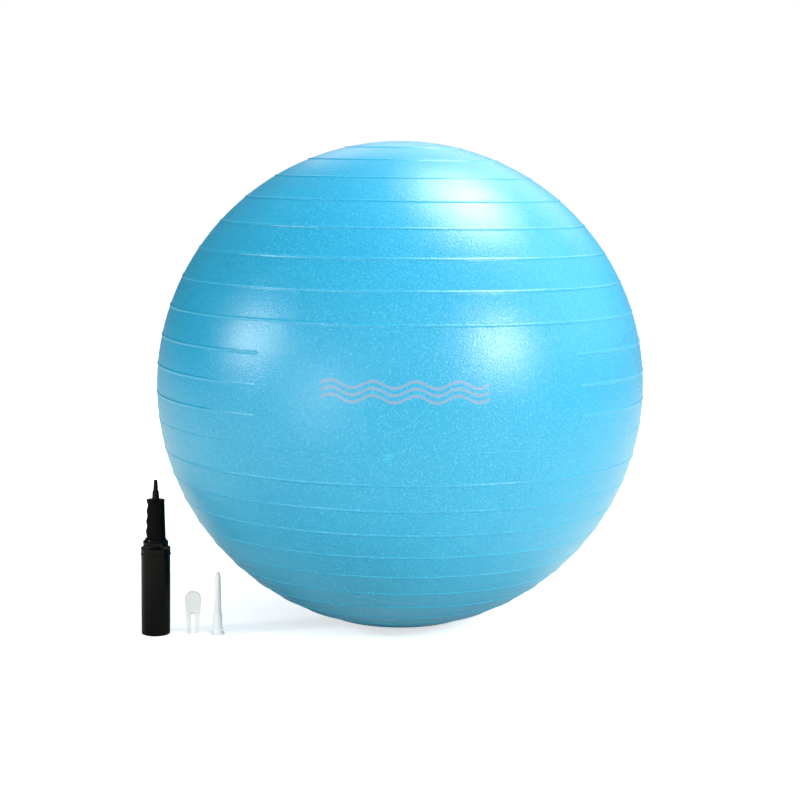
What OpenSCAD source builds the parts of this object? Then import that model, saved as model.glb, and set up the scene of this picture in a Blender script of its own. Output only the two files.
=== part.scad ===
// Ribbed exercise ball with its inflation kit: hand pump, plug puller and adaptor tube.
// Millimetres, +Z up. The origin is on the floor under the ball's centre, in the middle
// of the small flat that the ball's weight presses into its skin. The ball's printed,
// smooth panel faces -Y and its valve faces +Y.

/* [Ball] */
// Outer diameter of the inflated ball
ball_d = 650; // [545:5:850]
// Wall of the vinyl skin
skin_wall = 0.9; // [0.8:0.1:2]
// Radius of the flat that rests on the floor
contact_r = 30; // [15:1:45]

/* [Ribs] */
// Width of a grip rib at its foot
rib_w = 4.4; // [2:0.2:7]
// Width of a grip rib at its crest
rib_crest_w = 2; // [1:0.2:5]
// Height of a grip rib
rib_h = 1.1; // [0.5:0.1:2.5]
// Ribs above the parting line, and as many below it
ribs_per_half = 11; // [4:1:11]
// Ribs above the parting line that stop at the two smooth panels
short_ribs = 3; // [0:1:4]
// Latitude of the mould's parting line, in degrees
parting_lat = -7.6; // [-10:0.1:10]
// Width of the parting line's bead
parting_w = 1.2; // [0.6:0.1:3]
// Height of the parting line's bead
parting_h = 0.4; // [0.2:0.1:1]
// Degrees from the parting line to its first rib above, before the pitch grows
upper_pitch = 6.15; // [5:0.01:6.2]
// Degrees of pitch growth, per rib squared, above
upper_growth = 0.135; // [0:0.001:0.145]
// Extra degrees between the parting line and its first rib below
lower_lead = 1.2; // [0:0.1:2]
// Degrees between ribs below the parting line, before the pitch grows
lower_pitch = 6; // [5:0.05:6.1]
// Degrees of pitch growth, per rib squared, below
lower_growth = 0.045; // [0:0.001:0.06]
// Direction of the front panel's middle, in degrees to the right of -Y
panel_turn = 5.2; // [-20:0.2:20]
// Half the width of a smooth panel, in degrees
panel_half = 37.6; // [20:0.2:60]

/* [Valve] */
// Width of the boss's flat round the valve's neck
boss_w = 4; // [2:0.5:10]
// Height of the boss above the ball's surface, on the valve's axis
boss_up = 0.4; // [0.3:0.1:1.5]
// Width of the pad that is welded inside the skin, round the boss
pad_w = 12; // [6:1:25]
// Thickness of the pad
pad_t = 1.6; // [1:0.1:3]
// Wall of the valve's neck round the mouth of its bore
neck_wall = 3.25; // [2:0.05:5]
// Length of the valve's neck below the ball's surface
neck_len = 24; // [18:1:35]
// Radius of the valve's bore at its mouth
valve_mouth_r = 4.75; // [3.9:0.05:5.8]
// How much narrower the bore is at its inner end
valve_taper = 0.6; // [0.2:0.05:1]
// Overhang of the plug's head round its stem
plug_overhang = 4.25; // [2:0.05:6]
// Thickness of the plug's head
plug_head_t = 2.2; // [1.5:0.1:4]
// Radius of the groove under the head that the puller grips
plug_groove_r = 2.5; // [2:0.1:3]
// Height of that groove
plug_groove_h = 2; // [1.5:0.1:4]
// Length of the plug's tapered stem
plug_stem_len = 19; // [12:1:23]

/* [Pump barrel] */
// Height of the barrel's tube up to its mouth
barrel_h = 108; // [95:1:150]
// Outer radius of the barrel at its foot
barrel_r = 18.7; // [15.5:0.1:24]
// How much wider the barrel is at its mouth
barrel_draft = 0.6; // [0:0.1:1.5]
// Radius of the rounded edge round the barrel's foot
foot_round = 2.6; // [1:0.1:4]
// Thickness of the barrel's floor
barrel_floor_t = 2.8; // [2:0.1:5]
// Wall of the barrel at its foot
barrel_wall = 2.1; // [1.6:0.1:3]
// Overhang of the bead round the barrel's mouth
bead_out = 0.7; // [0.3:0.1:2]
// Height of that bead
bead_h = 1.8; // [1:0.1:3]
// Overhang of the cap round the barrel's mouth
cap_out = 0.2; // [0:0.1:0.6]
// Height of the cap above the barrel's mouth
cap_h = 7.7; // [6:0.1:12]
// Width of the cap's raised rim
cap_rim_w = 1.6; // [1:0.1:3]
// Depth of the dish inside the rim
cap_dish = 1.2; // [0.6:0.1:2]
// Length of the cap's spigot inside the barrel
cap_spigot = 11.2; // [8:0.2:16]
// Wall of the rod's guide bush
bush_wall = 2.8; // [1.5:0.1:3.5]
// Length of the guide bush
bush_len = 13; // [9:0.5:15]

/* [Pump rod and piston] */
// Outer radius of the hollow rod
rod_r = 6.6; // [5.5:0.1:8]
// Wall of the hollow rod
rod_wall = 3.2; // [2:0.1:3.5]
// Radial play of the piston's head in the bore
piston_play = 0.5; // [0.2:0.1:1]
// Wall of the piston's core round the rod
core_wall = 3.9; // [1.5:0.1:4.5]
// Thickness of the piston's upper flange
piston_flange_t = 4; // [2.5:0.5:6]
// Height of the cup seal
cup_h = 5.5; // [4:0.5:8]
// Thickness of the cup's closed ring above its lips
cup_ring_t = 2.3; // [1:0.1:3]
// Thickness of the cup's inner and outer lips
cup_lip_t = 1.2; // [0.8:0.1:1.8]
// Thickness of the washer that holds the cup
washer_t = 1.5; // [1:0.1:3]
// Overhang of that washer round the core
washer_out = 3; // [1.5:0.5:4]
// Thickness of the nut on the rod's end
nut_t = 3; // [2:0.1:5]
// Wall of the nut at the middle of its flats
nut_wall = 2.9; // [2:0.1:4]
// Thickness of the rubber bumper on the piston
bumper_t = 3; // [2:0.5:5]
// Wall of the bumper
bumper_wall = 5.4; // [3:0.1:7]

/* [Pump handle] */
// Gap between the cap and the handle's collar when the pump is closed
closed_gap = 3; // [1:0.1:6]
// Overhang of the handle's collar round the grip's foot
collar_out = 3.5; // [1.5:0.1:6]
// Height of the collar's upright band
collar_h = 5.3; // [3:0.1:8]
// Height of the collar's sloping shoulder
shoulder_h = 3.3; // [2:0.1:5]
// Height of the finger grip
grip_h = 49.2; // [45:0.2:70]
// Half the grip's width at its foot
grip_foot_half = 13.2; // [11:0.1:16]
// Half the grip's width at its top
grip_top_half = 11.5; // [9.5:0.1:14]
// Grip's thickness as a share of its width
grip_flatness = 0.84; // [0.8:0.01:1]
// Depth of a finger hollow below the crests beside it
finger_depth = 1.2; // [0:0.1:2]
// Pitch of the finger hollows
finger_pitch = 13.7; // [10:0.1:20]
// Height of the lowest hollow's middle above the grip's foot
finger_start = 2.6; // [0:0.1:8]
// Thickness of the grip's end cap
grip_cap_t = 2.6; // [2:0.1:5]
// Overhang of the end cap round the grip's top
grip_cap_lip = 0.4; // [0:0.1:1]
// Depth that the rod reaches into the grip
rod_in_grip = 10; // [6:0.5:16]
// Overlap of the loose check disc on the rod's end
disc_lap = 2; // [1:0.1:2.8]
// Thickness of the check disc
disc_t = 1.2; // [0.8:0.1:2]
// Distance that the disc lifts
disc_lift = 1.2; // [0.6:0.1:2]
// Height of the cage above the disc
cage_h = 2.4; // [1.5:0.1:4]
// Reach of the cage inward past the rod's bore
cage_lap = 0.9; // [0:0.1:1.5]
// Width of the cage's air slots
cage_slot = 1.6; // [1:0.1:2.5]
// Radius of the air channel through the grip and its nozzle
air_r = 1.3; // [0.8:0.1:1.8]
// Radius of the nozzle under its step
nozzle_r = 4.2; // [3.5:0.1:5.1]
// How much wider the nozzle is at its foot
nozzle_flare = 0.7; // [0.2:0.1:2]
// Depth of the nozzle's step
nozzle_step = 0.8; // [0.5:0.1:1]
// How much narrower the nozzle's upper part is at the tip
nozzle_taper = 1; // [0:0.1:1]
// Height of the nozzle's lower part
nozzle_lower_h = 11; // [6:0.5:20]
// Height of the nozzle's upper part
nozzle_upper_h = 14.9; // [8:0.1:25]
// Length of the nozzle's spigot inside the grip
nozzle_spigot = 9; // [5:0.5:14]
// Thickness of the rubber washer under the spigot
nozzle_seal_t = 1.5; // [1:0.1:3]

/* [Plug puller] */
// Height of the puller
puller_h = 57.5; // [45:0.5:80]
// Half the width of its rounded end
puller_head_r = 10.8; // [9:0.1:14]
// Width of a prong at its tip
prong_w = 4.15; // [3:0.05:6]
// Play of the plug's groove between the tips, on each side
slot_play = 0.15; // [0.1:0.05:0.5]
// How much the slot widens on each side towards its round end
slot_spread = 0.3; // [0:0.05:1]
// Height of the slot's round end above the tips
slot_h = 27; // [18:0.5:35]
// Thickness of the puller
puller_t = 3.6; // [3:0.1:5]
// Thickness of the puller at its wedged tips
puller_tip_t = 1.4; // [1:0.1:3]
// Height over which the tips are wedged
wedge_h = 21; // [10:0.5:25]

/* [Adaptor tube] */
// Height of the adaptor
adaptor_h = 83.3; // [60:0.1:120]
// Overhang of its flange round the wide body
flange_out = 2.55; // [1:0.05:5]
// Thickness of its flange
flange_t = 2.6; // [2:0.1:4]
// Wall of the socket at the flange
socket_foot_wall = 2.25; // [1.5:0.05:4]
// Wall of the socket at the adaptor's step
socket_top_wall = 1.35; // [1:0.05:2]
// Length of the adaptor's body between the socket's end and its step
socket_end = 4.8; // [2:0.1:10]
// Depth of the adaptor's step
adaptor_step = 0.7; // [0.2:0.1:1]
// Wall of the spout round its air channel, under its rounded shoulder
spout_wall = 2.35; // [1.5:0.05:2.5]
// Wall of the spout round its air channel, at the tip
tip_wall = 0.95; // [0.6:0.05:1.4]
// Height of the spout's rounded shoulder
shoulder_len = 6.5; // [3:0.1:10]
// Depth of the socket that takes the pump's nozzle
socket_depth = 24; // [18:1:35]
// Radius of the air channel above the socket
spout_bore_r = 1.6; // [1:0.1:2]

/* [Kit layout] */
// Distance of the row of accessories in front of the ball's centre
row_front = 96; // [60:1:150]
// Clearance between the ball's widest circle and the pump's axis
pump_clear = 6; // [5:0.5:60]
// Gap between the pump's bead and the puller
puller_gap = 18; // [8:0.5:40]
// Gap between the puller and the adaptor's flange
adaptor_gap = 12.6; // [8:0.2:40]

/* [Fits] */
// Radial clearance of a sliding fit
slide_fit = 0.05; // [0.02:0.01:0.1]
// Radial or axial clearance between pieces that are fixed together
assembly_fit = 0.1; // [0.05:0.01:0.2]
// Gap under a piece that rests on another one and can leave it
rest_gap = 0.3; // [0.2:0.05:0.5]

/* [Hidden] */

$fn = 96;
// Slack that carries a cut past the face it opens
cut = 1;
// Depth that a rib's root is sunk into the skin
rib_root = 0.5;
// Width of the small bevels on moulded edges
edge = 0.5;
// Height that the flats on the puller's tips take off their rounding
tip_flat = 0.3;
// Exponent of the grip's rounded oval: 2 is an ellipse
oval_power = 2.3;

// Ball and valve
ball_r = ball_d / 2;
ball_cz = sqrt(pow(ball_r, 2) - pow(contact_r, 2));
neck_r = valve_mouth_r + neck_wall;
boss_r = neck_r + boss_w;
pad_r = boss_r + pad_w;
valve_inner_r = valve_mouth_r - valve_taper;
plug_head_r = valve_mouth_r + plug_overhang;

// Radii of the pump's barrel, rod and piston
barrel_mouth_r = barrel_r + barrel_draft;
barrel_bore_r = barrel_r - barrel_wall;
bead_r = barrel_mouth_r + bead_out;
cap_r = barrel_mouth_r + cap_out;
bush_r = rod_r + bush_wall;
rod_bore_r = rod_r - rod_wall;
piston_r = barrel_bore_r - piston_play;
piston_core_r = rod_r + core_wall;
washer_r = piston_core_r + washer_out;
nut_af = 2 * (rod_r + nut_wall);
bumper_r = rod_r + bumper_wall;
disc_r = rod_bore_r + disc_lap;

// Radii of the pump's handle
collar_r = grip_foot_half + collar_out;
spigot_r = nozzle_r;

// Stack of the pump, from the floor up
rod_z = barrel_floor_t + rest_gap;
washer_z = rod_z + nut_t;
cup_z = washer_z + washer_t + assembly_fit;
piston_z = cup_z + cup_h + assembly_fit;
bumper_z = piston_z + piston_flange_t + assembly_fit;
spigot_z = barrel_h - cap_spigot;
cap_top_z = barrel_h + cap_h;
collar_z = cap_top_z + closed_gap;
grip_z = collar_z + collar_h + shoulder_h;
rod_top_z = grip_z + rod_in_grip;
disc_z = rod_top_z + rest_gap;
cage_z = disc_z + disc_t + disc_lift + assembly_fit;
chamber_top_z = cage_z + cage_h + assembly_fit;
grip_top_z = grip_z + grip_h;
nozzle_z = grip_top_z + grip_cap_t;
seal_z = nozzle_z - nozzle_spigot - nozzle_seal_t - assembly_fit;

// Puller and adaptor
slot_tip_half = plug_groove_r + slot_play;
slot_top_r = slot_tip_half + slot_spread;
puller_tip_half = slot_tip_half + prong_w;
socket_r = nozzle_r + slide_fit;
wide_foot_r = socket_r + socket_foot_wall;
wide_top_r = socket_r + socket_top_wall;
flange_r = wide_foot_r + flange_out;
adaptor_step_h = socket_depth + socket_end;
spout_foot_r = wide_top_r - adaptor_step;

// Places of the accessories, on one row that is parallel to X
pump_x = -sqrt(pow(ball_r + pump_clear, 2) - pow(row_front, 2));
puller_x = pump_x + bead_r + puller_gap + puller_head_r;
adaptor_x = puller_x + puller_head_r + adaptor_gap + flange_r;

// Latitude of rib number i above or below the parting line
function upper_lat(i) = parting_lat + upper_pitch * i + upper_growth * pow(i, 2);
function lower_lat(i) = parting_lat - lower_lead - lower_pitch * i - lower_growth * pow(i, 2);

module at_pump(z = 0) {
    translate([pump_x, -row_front, z]) children();
}

// Tube round the pump's axis, from z to z + h
module pump_ring(outer_r, inner_r, z, h) {
    at_pump(z) difference() {
        cylinder(r = outer_r, h = h);
        translate([0, 0, -cut]) cylinder(r = inner_r, h = h + 2 * cut);
    }
}

// Everything above the height z, as a block wider than the ball
module above(z) {
    translate([-ball_d, -ball_d, z]) cube([2 * ball_d, 2 * ball_d, 2 * ball_d]);
}

// One bead round the ball at a latitude, from an azimuth through a sweep
module bead(lat, foot_w, crest_w, height, from = 0, sweep = 360) {
    translate([0, 0, ball_cz]) rotate([0, 0, from]) rotate_extrude(angle = sweep, $fn = 180)
        translate([ball_r * cos(lat), ball_r * sin(lat)]) rotate(lat)
            polygon([[-rib_root, -foot_w / 2], [0, -foot_w / 2], [height, -crest_w / 2],
                     [height, crest_w / 2], [0, foot_w / 2], [-rib_root, foot_w / 2]]);
}

// A rib all the way round, or in two arcs that leave the smooth panels free
module rib(lat, short = false) {
    if (short) {
        for (side = [0, 180])
            bead(lat, rib_w, rib_crest_w, rib_h,
                 from = side - 90 + panel_turn + panel_half, sweep = 180 - 2 * panel_half);
    } else {
        bead(lat, rib_w, rib_crest_w, rib_h);
    }
}

// Puts a shape that is drawn along +Z from the ball's centre onto the valve's axis, +Y
module on_valve_axis() {
    translate([0, 0, ball_cz]) rotate([-90, 0, 0]) children();
}

// Hollow vinyl skin with its grip ribs, parting line and the opening for the valve
module ball_skin() {
    color("deepskyblue") difference() {
        intersection() {
            union() {
                translate([0, 0, ball_cz]) sphere(r = ball_r, $fn = 180);
                for (i = [1:ribs_per_half]) {
                    rib(upper_lat(i), short = i <= short_ribs);
                    rib(lower_lat(i));
                }
                bead(parting_lat, parting_w, parting_w / 2, parting_h);
            }
            above(0);
        }
        intersection() {
            translate([0, 0, ball_cz]) sphere(r = ball_r - skin_wall, $fn = 180);
            above(skin_wall);
        }
        on_valve_axis() translate([0, 0, ball_r - neck_len])
            cylinder(r = boss_r + assembly_fit, h = 2 * neck_len);
    }
}

// Soft seat of the valve: a boss, a neck and a pad that is welded inside the skin
module valve_seat() {
    pad_outer_r = ball_r - skin_wall - assembly_fit;
    color("skyblue") on_valve_axis() difference() {
        union() {
            translate([0, 0, pad_outer_r - pad_t])
                cylinder(r = boss_r, h = ball_r + boss_up - pad_outer_r + pad_t);
            translate([0, 0, ball_r - neck_len]) cylinder(r = neck_r, h = neck_len);
            intersection() {
                difference() {
                    sphere(r = pad_outer_r, $fn = 180);
                    sphere(r = pad_outer_r - pad_t, $fn = 180);
                }
                translate([0, 0, ball_r - neck_len]) cylinder(r = pad_r, h = 2 * neck_len);
            }
        }
        translate([0, 0, ball_r - neck_len])
            cylinder(r1 = valve_inner_r, r2 = valve_mouth_r, h = neck_len + boss_up);
    }
}

// Stopper: a head to grip, a groove for the puller and a stem with the taper of the bore
module valve_plug() {
    mouth = ball_r + boss_up;
    head_z = mouth + rest_gap;
    stem_top = head_z - plug_groove_h;
    stem_end = stem_top - plug_stem_len;
    taper = (valve_mouth_r - valve_inner_r) / (neck_len + boss_up);
    function stem_r(z) = valve_mouth_r - slide_fit - taper * (mouth - z);
    color("white") on_valve_axis() rotate_extrude()
        polygon([[0, stem_end], [stem_r(stem_end) - 2 * edge, stem_end],
                 [stem_r(stem_end), stem_end + 2 * edge], [stem_r(stem_top), stem_top],
                 [plug_groove_r, stem_top], [plug_groove_r, head_z],
                 [plug_head_r - edge, head_z], [plug_head_r, head_z + edge],
                 [plug_head_r, head_z + plug_head_t - edge], [plug_head_r - edge, head_z + plug_head_t],
                 [0, head_z + plug_head_t]]);
}

// Drafted tube with a closed, round-edged foot and a bead round its mouth
module pump_barrel() {
    color([0.06, 0.06, 0.06]) at_pump() difference() {
        union() {
            rotate_extrude() union() {
                polygon([[0, 0], [barrel_r - foot_round, 0],
                         [barrel_r - foot_round, foot_round], [barrel_r, foot_round],
                         [barrel_mouth_r, barrel_h], [0, barrel_h]]);
                intersection() {
                    translate([barrel_r - foot_round, foot_round]) circle(r = foot_round);
                    square([barrel_r, foot_round]);
                }
            }
            translate([0, 0, barrel_h - bead_h]) cylinder(r = bead_r, h = bead_h);
        }
        translate([0, 0, barrel_floor_t]) cylinder(r = barrel_bore_r, h = barrel_h);
    }
}

// Cap with a dished top and a spigot that holds the rod's bush in the barrel
module barrel_cap() {
    bush_top = spigot_z + bush_len + assembly_fit;
    color([0.05, 0.05, 0.05]) at_pump() difference() {
        union() {
            translate([0, 0, barrel_h]) cylinder(r = cap_r, h = cap_h);
            translate([0, 0, spigot_z]) cylinder(r = barrel_bore_r - assembly_fit, h = cap_spigot + cut);
        }
        translate([0, 0, cap_top_z - cap_dish]) difference() {
            cylinder(r = cap_r - cap_rim_w, h = cap_dish + cut);
            translate([0, 0, -cut]) cylinder(r = bush_r, h = cap_dish + 3 * cut);
        }
        translate([0, 0, spigot_z - cut])
            cylinder(r = bush_r + assembly_fit, h = bush_top - spigot_z + cut);
        translate([0, 0, spigot_z]) cylinder(r = rod_r + rest_gap, h = cap_spigot + cap_h + cut);
    }
}

// Bush that guides the rod in the cap
module rod_bush() {
    color("dimgray") pump_ring(bush_r, rod_r + slide_fit, spigot_z, bush_len);
}

// Hollow rod that carries the air from the piston to the handle
module rod_tube() {
    color([0.1, 0.1, 0.1]) pump_ring(rod_r, rod_bore_r, rod_z, rod_top_z - rod_z);
}

// Piston: a flange over the core that the cup seal sits on
module piston_head() {
    core_z = washer_z + washer_t;
    color("silver") at_pump() difference() {
        union() {
            translate([0, 0, piston_z]) cylinder(r = piston_r, h = piston_flange_t);
            translate([0, 0, core_z]) cylinder(r = piston_core_r, h = piston_z + cut - core_z);
        }
        translate([0, 0, rod_z]) cylinder(r = rod_r + assembly_fit, h = bumper_z);
    }
}

// Rubber cup with a hollow between its lips, which seals on the barrel's bore
module piston_cup() {
    seal_r = barrel_bore_r - slide_fit;
    color("darkslategray") at_pump(cup_z) difference() {
        cylinder(r = seal_r, h = cup_h);
        translate([0, 0, -cut]) cylinder(r = piston_core_r + assembly_fit, h = cup_h + 2 * cut);
        translate([0, 0, -cut]) difference() {
            cylinder(r = seal_r - cup_lip_t, h = cup_h - cup_ring_t + cut);
            translate([0, 0, -cut]) cylinder(r = piston_core_r + cup_lip_t, h = cup_h + cut);
        }
    }
}

// Washer that holds the cup on the core
module piston_washer() {
    color("gray") pump_ring(washer_r, rod_r + assembly_fit, washer_z, washer_t - assembly_fit);
}

// Hexagonal nut that holds the piston on the rod
module piston_nut() {
    color("gray") at_pump(rod_z) difference() {
        cylinder(d = nut_af / cos(30), h = nut_t - assembly_fit, $fn = 6);
        translate([0, 0, -cut]) cylinder(r = rod_r + assembly_fit, h = nut_t + 2 * cut);
    }
}

// Rubber ring that meets the cap's spigot at the end of the stroke
module bumper_ring() {
    color("darkslategray") pump_ring(bumper_r, rod_r + assembly_fit, bumper_z, bumper_t);
}

// Loose disc on the rod's end that keeps the ball's air from flowing back
module check_disc() {
    color("darkslategray") at_pump(disc_z) cylinder(r = disc_r, h = disc_t);
}

// Slotted ring that limits the disc's lift and lets the air round it
module check_cage() {
    color("white") at_pump(cage_z) difference() {
        cylinder(r = rod_r - assembly_fit, h = cage_h);
        translate([0, 0, -cut]) cylinder(r = disc_r - disc_lap - cage_lap, h = cage_h + 2 * cut);
        for (turn = [0, 90]) rotate([0, 0, turn])
            translate([-disc_r - rest_gap, -cage_slot / 2, -cut])
                cube([2 * (disc_r + rest_gap), cage_slot, cage_h + 2 * cut]);
    }
}

// Collar with a sloping shoulder under the grip
module grip_collar() {
    shoulder_r = grip_foot_half + edge;
    color([0.05, 0.05, 0.05]) at_pump(collar_z) difference() {
        rotate_extrude()
            polygon([[0, 0], [collar_r - edge, 0], [collar_r, edge], [collar_r, collar_h - edge],
                     [collar_r - edge, collar_h], [shoulder_r + edge, collar_h + shoulder_h - edge],
                     [shoulder_r, collar_h + shoulder_h], [0, collar_h + shoulder_h]]);
        translate([0, 0, -cut]) cylinder(r = rod_r + assembly_fit, h = collar_h + shoulder_h + 2 * cut);
    }
}

// Half the grip's width at the height h above its foot
function grip_half(h) = grip_foot_half + (grip_top_half - grip_foot_half) * h / grip_h;

// Outward swing of the finger side at the height h: 0 in the hollows' middles
function finger_wave(h) = finger_depth / 2 * (1 - cos(360 * (h - finger_start) / finger_pitch));

// Reach of the grip's rounded oval at the angle a, where 1 is half its width
function oval(a) = pow(pow(abs(cos(a)), oval_power) + pow(abs(sin(a)), oval_power), -1 / oval_power);

// Ring of the oval at the height h, with the finger waves on its -X side
function grip_ring(h, sides) = [
    for (k = [0:sides - 1])
        let (a = 360 * k / sides, c = cos(a), reach = grip_half(h) * oval(a),
             wave = c < 0 ? pow(c, 2) * (finger_wave(h) - finger_depth / 2) : 0)
        [(reach + wave) * c, reach * grip_flatness * sin(a), h]
];

// Oval solid of the grip, from rings that are joined by quads
module grip_solid() {
    sides = 36;
    rings = 32;
    points = [for (i = [0:rings]) each grip_ring(grip_h * i / rings, sides)];
    walls = [
        for (i = [0:rings - 1], k = [0:sides - 1])
            let (a = i * sides + k, b = i * sides + (k + 1) % sides)
            each [[a, a + sides, b + sides], [a, b + sides, b]]
    ];
    foot = [for (k = [0:sides - 1]) k];
    top = [for (k = [sides - 1:-1:0]) rings * sides + k];
    polyhedron(points = points, faces = concat(walls, [foot], [top]), convexity = 4);
}

// Moulded finger grip with the rod's socket, the valve chamber and the air channel
module grip_body() {
    color([0.04, 0.04, 0.04]) at_pump() difference() {
        translate([0, 0, grip_z]) grip_solid();
        translate([0, 0, grip_z - cut])
            cylinder(r = rod_r + assembly_fit, h = chamber_top_z - grip_z + cut);
        translate([0, 0, grip_z]) cylinder(r = air_r, h = grip_h);
        translate([0, 0, seal_z - assembly_fit]) cylinder(r = spigot_r + assembly_fit, h = grip_h);
    }
}

// End cap of the grip, with a lip round the grip's top
module grip_cap() {
    half = grip_top_half + grip_cap_lip;
    color([0.05, 0.05, 0.05]) at_pump(grip_top_z) difference() {
        linear_extrude(grip_cap_t) polygon([
            for (a = [0:5:355]) half * oval(a) * [cos(a), grip_flatness * sin(a)]
        ]);
        translate([0, 0, -cut]) cylinder(r = spigot_r + assembly_fit, h = grip_cap_t + 2 * cut);
    }
}

// Stepped nozzle with a spigot in the grip and an air channel
module pump_nozzle() {
    step_z = nozzle_lower_h;
    tip_z = nozzle_lower_h + nozzle_upper_h;
    upper_r = nozzle_r - nozzle_step;
    tip_r = upper_r - nozzle_taper;
    color([0.06, 0.06, 0.06]) at_pump(nozzle_z) difference() {
        rotate_extrude()
            polygon([[0, -nozzle_spigot], [spigot_r, -nozzle_spigot], [spigot_r, assembly_fit],
                     [nozzle_r + nozzle_flare, assembly_fit], [nozzle_r, step_z - edge],
                     [nozzle_r - edge, step_z], [upper_r, step_z],
                     [tip_r, tip_z - edge], [tip_r - edge, tip_z], [0, tip_z]]);
        translate([0, 0, -nozzle_spigot - cut]) cylinder(r = air_r, h = nozzle_spigot + tip_z + 2 * cut);
    }
}

// Rubber washer under the nozzle's spigot
module nozzle_seal() {
    color("darkslategray") pump_ring(spigot_r, air_r + assembly_fit, seal_z, nozzle_seal_t);
}

// Flat outline of the puller: a round head and two prongs, with a slot between them
module puller_outline() {
    prong_r = prong_w / 2;
    head_z = puller_h - puller_head_r;
    difference() {
        union() {
            translate([0, head_z]) circle(r = puller_head_r);
            polygon([[-puller_tip_half, prong_r], [puller_tip_half, prong_r],
                     [puller_head_r, head_z], [-puller_head_r, head_z]]);
            for (side = [-1, 1]) translate([side * (slot_tip_half + prong_r), prong_r])
                intersection() {
                    circle(r = prong_r);
                    translate([-prong_r, tip_flat - prong_r]) square(prong_w);
                }
        }
        polygon([[-slot_tip_half, -cut], [slot_tip_half, -cut],
                 [slot_top_r, slot_h - slot_top_r], [-slot_top_r, slot_h - slot_top_r]]);
        translate([0, slot_h - slot_top_r]) circle(r = slot_top_r);
    }
}

// Side outline that wedges the prongs towards their tips
module puller_side() {
    polygon([[-puller_tip_t / 2, -cut], [puller_tip_t / 2, -cut], [puller_t / 2, wedge_h],
             [puller_t / 2, puller_h + cut], [-puller_t / 2, puller_h + cut], [-puller_t / 2, wedge_h]]);
}

// Fork that lifts the plug by the groove under its head
module plug_puller() {
    color("whitesmoke") translate([puller_x, -row_front, -tip_flat]) intersection() {
        translate([0, puller_t, 0]) rotate([90, 0, 0]) linear_extrude(2 * puller_t) puller_outline();
        translate([-2 * puller_head_r, 0, 0]) rotate([90, 0, 90])
            linear_extrude(4 * puller_head_r) puller_side();
    }
}

// Tapered tube between the pump's nozzle and the ball's valve, standing on its flange
module adaptor_tube() {
    spout_z = adaptor_h - shoulder_len;
    spout_top_r = spout_bore_r + spout_wall;
    spout_tip_r = spout_bore_r + tip_wall;
    color("whitesmoke") translate([adaptor_x, -row_front, 0]) difference() {
        rotate_extrude()
            polygon([[0, 0], [flange_r - edge, 0], [flange_r, edge], [flange_r, flange_t - edge],
                     [flange_r - edge, flange_t], [wide_foot_r, flange_t],
                     [wide_top_r, adaptor_step_h - edge], [spout_foot_r, adaptor_step_h],
                     [spout_top_r, spout_z], [spout_top_r - edge, spout_z + shoulder_len / 3],
                     [spout_tip_r + edge, adaptor_h - shoulder_len / 5],
                     [spout_tip_r, adaptor_h - edge], [spout_tip_r - edge, adaptor_h], [0, adaptor_h]]);
        translate([0, 0, -cut]) cylinder(r = socket_r, h = socket_depth + cut);
        cylinder(r = spout_bore_r, h = adaptor_h + cut);
    }
}

ball_skin();
valve_seat();
valve_plug();
pump_barrel();
barrel_cap();
rod_bush();
rod_tube();
piston_head();
piston_cup();
piston_washer();
piston_nut();
bumper_ring();
check_disc();
check_cage();
grip_collar();
grip_body();
grip_cap();
pump_nozzle();
nozzle_seal();
plug_puller();
adaptor_tube();
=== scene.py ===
"""Looks of an inflatable exercise ball with its hand pump, plug puller and adaptor tube.

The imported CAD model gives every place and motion. This script puts finished meshes and materials
round it, and a plain studio. Lengths in the classes are in millimetres.
"""
import logging
import math
from collections.abc import Callable, Iterable, Sequence
from dataclasses import dataclass, field
from enum import Enum

import bmesh
import bpy
from mathutils import Matrix, Vector


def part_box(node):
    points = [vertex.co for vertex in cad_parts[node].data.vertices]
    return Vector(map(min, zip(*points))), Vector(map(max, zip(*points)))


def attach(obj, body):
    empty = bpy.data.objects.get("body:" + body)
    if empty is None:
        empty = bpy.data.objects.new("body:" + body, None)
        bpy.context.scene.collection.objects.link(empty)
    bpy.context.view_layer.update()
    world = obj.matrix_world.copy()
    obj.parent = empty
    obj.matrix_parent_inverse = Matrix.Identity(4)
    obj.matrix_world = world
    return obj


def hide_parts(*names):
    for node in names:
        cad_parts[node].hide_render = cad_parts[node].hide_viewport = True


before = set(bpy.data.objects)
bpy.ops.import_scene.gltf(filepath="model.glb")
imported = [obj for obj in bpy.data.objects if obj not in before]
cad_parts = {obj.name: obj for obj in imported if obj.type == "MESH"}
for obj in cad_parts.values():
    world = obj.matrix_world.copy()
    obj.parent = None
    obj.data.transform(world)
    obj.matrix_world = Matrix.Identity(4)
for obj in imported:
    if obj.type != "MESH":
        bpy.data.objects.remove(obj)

log = logging.getLogger("exercise_ball")
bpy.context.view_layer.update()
MM = 0.001
TINY = 1e-6
ROUND_SEGMENTS = 112  # sides of a turned piece
WIDE_SEGMENTS = 128  # sides of a wide one

Point = tuple[float, float, float]
Corner = tuple[float, float, float]  # radius, height, and the rounding of that corner
Flat = tuple[float, float]
Rgba = tuple[float, float, float, float]


def linear_rgba(code: str) -> Rgba:
    """Turns an sRGB hex colour into the linear colour that shaders take.

    Args:
        code: Six hex digits, with or without a leading hash.

    Returns:
        Linear red, green and blue, with an alpha of 1.
    """
    digits = code.lstrip("#")
    parts = [int(digits[i:i + 2], 16) / 255 for i in (0, 2, 4)]
    red, green, blue = (p / 12.92 if p <= 0.04045 else ((p + 0.055) / 1.055) ** 2.4 for p in parts)
    return red, green, blue, 1.0


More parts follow.
